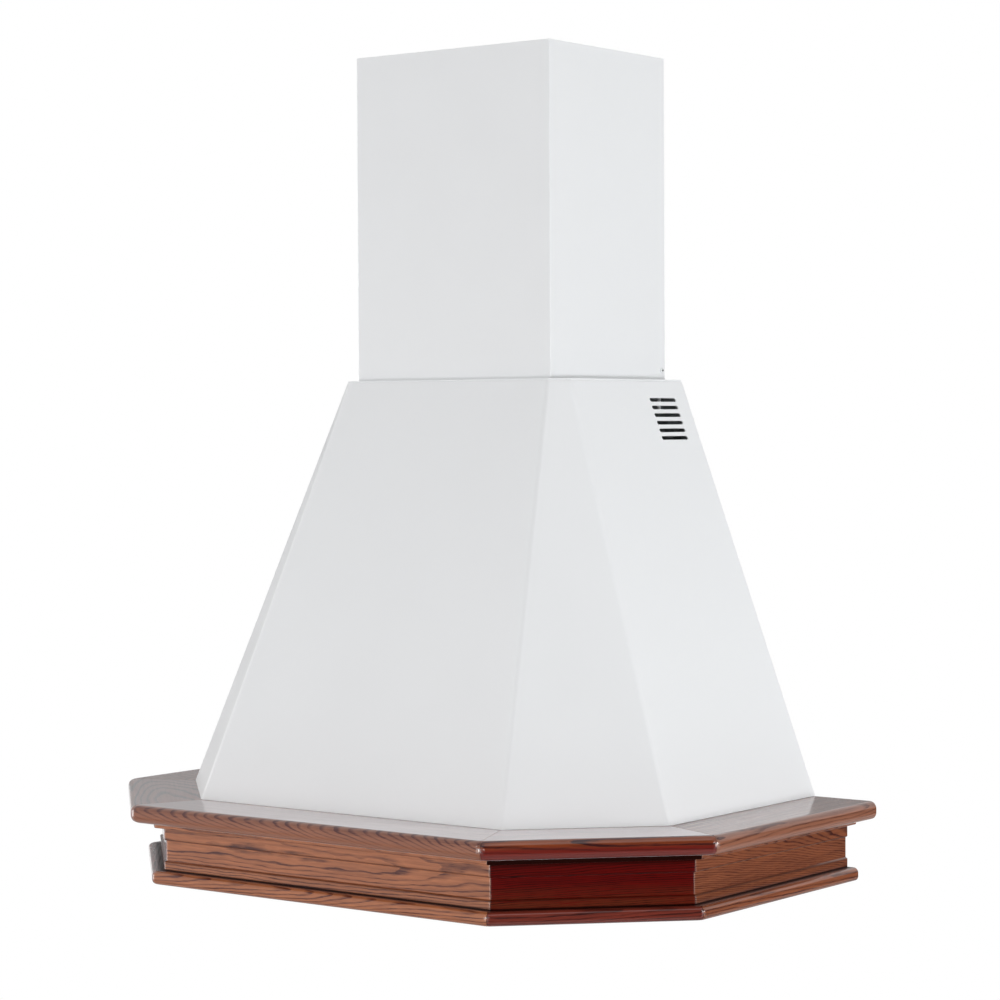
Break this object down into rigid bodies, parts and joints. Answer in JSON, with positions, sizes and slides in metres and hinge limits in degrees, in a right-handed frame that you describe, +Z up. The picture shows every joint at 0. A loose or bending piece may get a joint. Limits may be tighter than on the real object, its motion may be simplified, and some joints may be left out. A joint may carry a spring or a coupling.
{
  "type": "wall range hood",
  "caption": "Wall range hood with a white faceted sheet-steel canopy and square chimney standing on a mitred, stained timber shelf and frieze.",
  "frame": {"origin": "on the wall plane, at the middle of the hood's width, level with its underside", "axes": "+X to the right as seen from the room, +Y into the wall, +Z up"},
  "size_m": [0.9, 0.538, 1.008],
  "materials": {
    "white_enamel": "smooth white enamel, soft gloss",
    "stained_wood": "open-grained wood, stained red-brown and varnished",
    "plain_wood": "planed softwood, bare",
    "zinc_steel": "zinc-coated sheet steel",
    "bright_steel": "bright zinc plating",
    "aluminium": "satin aluminium",
    "mesh_aluminium": "layers of expanded aluminium",
    "black_plastic": "matte black plastic",
    "brown_plastic": "dark brown plastic, soft gloss",
    "ivory_plastic": "ivory plastic, soft gloss",
    "fan_plastic": "dark grey moulded plastic",
    "pale_plastic": "pale grey moulded plastic",
    "motor_paint": "black paint",
    "frosted_glass": "frosted glass",
    "bulb_glass": "pearl glass"
  },
  "bodies": {
    "hood": {"canopy_shell": "white_enamel", "top_plate": "white_enamel", "chimney_cover": "white_enamel", "under_panel": "white_enamel", "lamp_housing_left": "white_enamel", "lamp_housing_right": "white_enamel", "shelf_left_side": "stained_wood", "frieze_left_side": "stained_wood", "rail_left_side": "stained_wood", "shelf_left_corner": "stained_wood", "frieze_left_corner": "stained_wood", "rail_left_corner": "stained_wood", "shelf_front": "stained_wood", "frieze_front": "stained_wood", "rail_front": "stained_wood", "shelf_right_corner": "stained_wood", "frieze_right_corner": "stained_wood", "rail_right_corner": "stained_wood", "shelf_right_side": "stained_wood", "frieze_right_side": "stained_wood", "rail_right_side": "stained_wood", "back_board": "plain_wood", "back_panel": "zinc_steel", "blower_case_left": "zinc_steel", "blower_case_right": "zinc_steel", "blower_bracket_left": "zinc_steel", "blower_bracket_right": "zinc_steel", "chimney_bracket": "zinc_steel", "lamp_lens_left": "frosted_glass", "lamp_bulb_left": "bulb_glass", "lamp_lens_right": "frosted_glass", "lamp_bulb_right": "bulb_glass", "control_bezel": "brown_plastic", "switch_block": "black_plastic", "motor": "motor_paint", "outlet_spigot": "fan_plastic", "damper_pin": "bright_steel", "terminal_box": "pale_plastic", "terminal_box_lid": "pale_plastic", "cable_gland": "black_plastic", "capacitor": "aluminium", "wood_screws": "bright_steel", "sheet_screws": "bright_steel", "top_plate_bolts": "bright_steel"},
    "fan": {"impeller_disc": "fan_plastic", "impeller_cage": "fan_plastic", "motor_shaft": "bright_steel"},
    "damper_front": {"damper_flap_front": "zinc_steel"},
    "damper_rear": {"damper_flap_rear": "zinc_steel"},
    "filter_left": {"filter_frame_left": "aluminium", "filter_mesh_left": "mesh_aluminium"},
    "filter_right": {"filter_frame_right": "aluminium", "filter_mesh_right": "mesh_aluminium"},
    "latch_left": {"filter_latch_left": "black_plastic"},
    "latch_right": {"filter_latch_right": "black_plastic"},
    "off_button": {"button_off": "ivory_plastic"},
    "speed_1_button": {"button_speed_1": "ivory_plastic"},
    "speed_2_button": {"button_speed_2": "ivory_plastic"},
    "speed_3_button": {"button_speed_3": "ivory_plastic"},
    "light_button": {"button_light": "ivory_plastic"}
  },
  "joints": [
    {"name": "fan_spin", "type": "hinge", "parent": "hood", "child": "fan", "pos_m": [0, -0.215, 0.298], "axis": [1, 0, 0], "continuous": true},
    {"name": "damper_rear_lift", "type": "hinge", "parent": "hood", "child": "damper_rear", "pos_m": [0, -0.122, 0.455], "axis": [1, 0, 0], "range_deg": [0, 75]},
    {"name": "damper_front_lift", "type": "hinge", "parent": "hood", "child": "damper_front", "pos_m": [0, -0.122, 0.455], "axis": [-1, 0, 0], "range_deg": [0, 75]},
    {"name": "filter_left_tilt", "type": "hinge", "parent": "hood", "child": "filter_left", "pos_m": [-0.151, -0.033, 0.019], "axis": [1, 0, 0], "range_deg": [0, 70]},
    {"name": "latch_left_pull", "type": "slide", "parent": "filter_left", "child": "latch_left", "axis": [0, 1, 0], "range_m": [0, 0.008], "stiffness_N_per_m": 150},
    {"name": "filter_right_tilt", "type": "hinge", "parent": "hood", "child": "filter_right", "pos_m": [0.151, -0.033, 0.019], "axis": [1, 0, 0], "range_deg": [0, 70]},
    {"name": "latch_right_pull", "type": "slide", "parent": "filter_right", "child": "latch_right", "axis": [0, 1, 0], "range_m": [0, 0.008], "stiffness_N_per_m": 150},
    {"name": "off_press", "type": "slide", "parent": "hood", "child": "off_button", "axis": [0, 0, 1], "range_m": [0, 0.003], "stiffness_N_per_m": 300},
    {"name": "speed_1_press", "type": "slide", "parent": "hood", "child": "speed_1_button", "axis": [0, 0, 1], "range_m": [0, 0.003], "stiffness_N_per_m": 300},
    {"name": "speed_2_press", "type": "slide", "parent": "hood", "child": "speed_2_button", "axis": [0, 0, 1], "range_m": [0, 0.003], "stiffness_N_per_m": 300},
    {"name": "speed_3_press", "type": "slide", "parent": "hood", "child": "speed_3_button", "axis": [0, 0, 1], "range_m": [0, 0.003], "stiffness_N_per_m": 300},
    {"name": "light_press", "type": "slide", "parent": "hood", "child": "light_button", "axis": [0, 0, 1], "range_m": [0, 0.003], "stiffness_N_per_m": 300}
  ]
}
